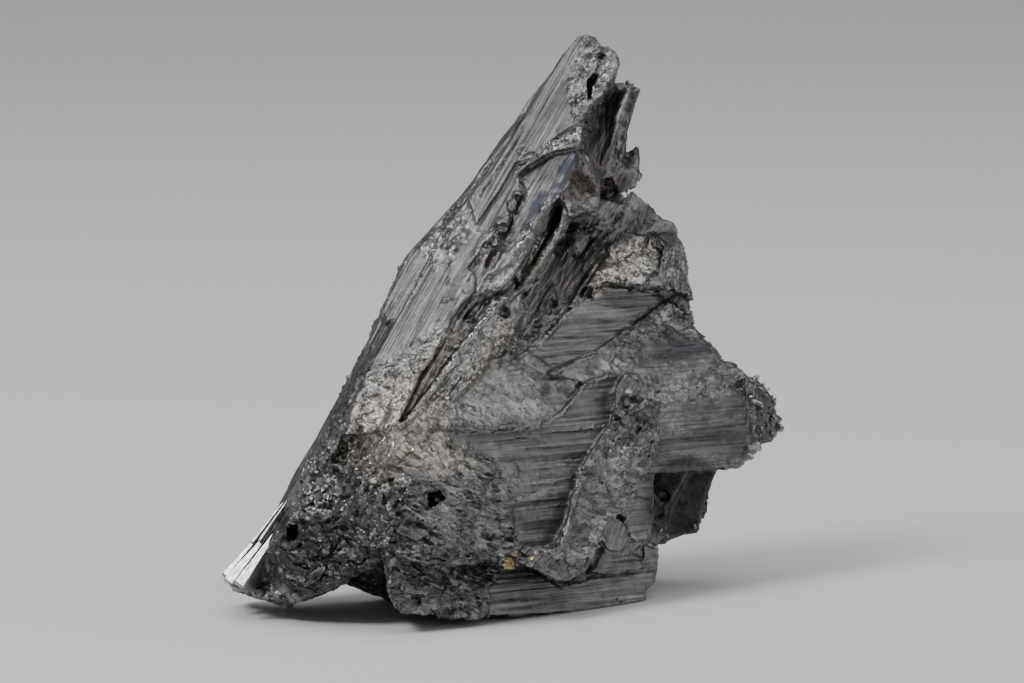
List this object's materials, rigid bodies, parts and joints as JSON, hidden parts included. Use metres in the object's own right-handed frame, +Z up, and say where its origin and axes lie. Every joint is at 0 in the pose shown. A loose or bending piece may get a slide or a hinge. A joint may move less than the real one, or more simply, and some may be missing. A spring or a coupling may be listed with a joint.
{
  "type": "andorite crystal",
  "caption": "Free-standing andorite mineral specimen: a long striated blade rising from a stepped, striated and granular metallic grey mass.",
  "frame": {"origin": "centre of the bounding box in plan, on the surface that the specimen rests on", "axes": "+Z up, out of the resting surface; -Y towards the viewer, the side with the stepped striated face; +X to the viewer's right, away from the low end of the blade"},
  "size_m": [0.048, 0.0336, 0.049],
  "materials": {
    "andorite": "dark steel grey metallic lustre, finely striated and granular, with faint blue and brown tarnish",
    "pyrite": "pale brass-yellow metallic grains"
  },
  "bodies": {
    "root": {"andorite_crystal": "andorite"}
  },
  "joints": []
}
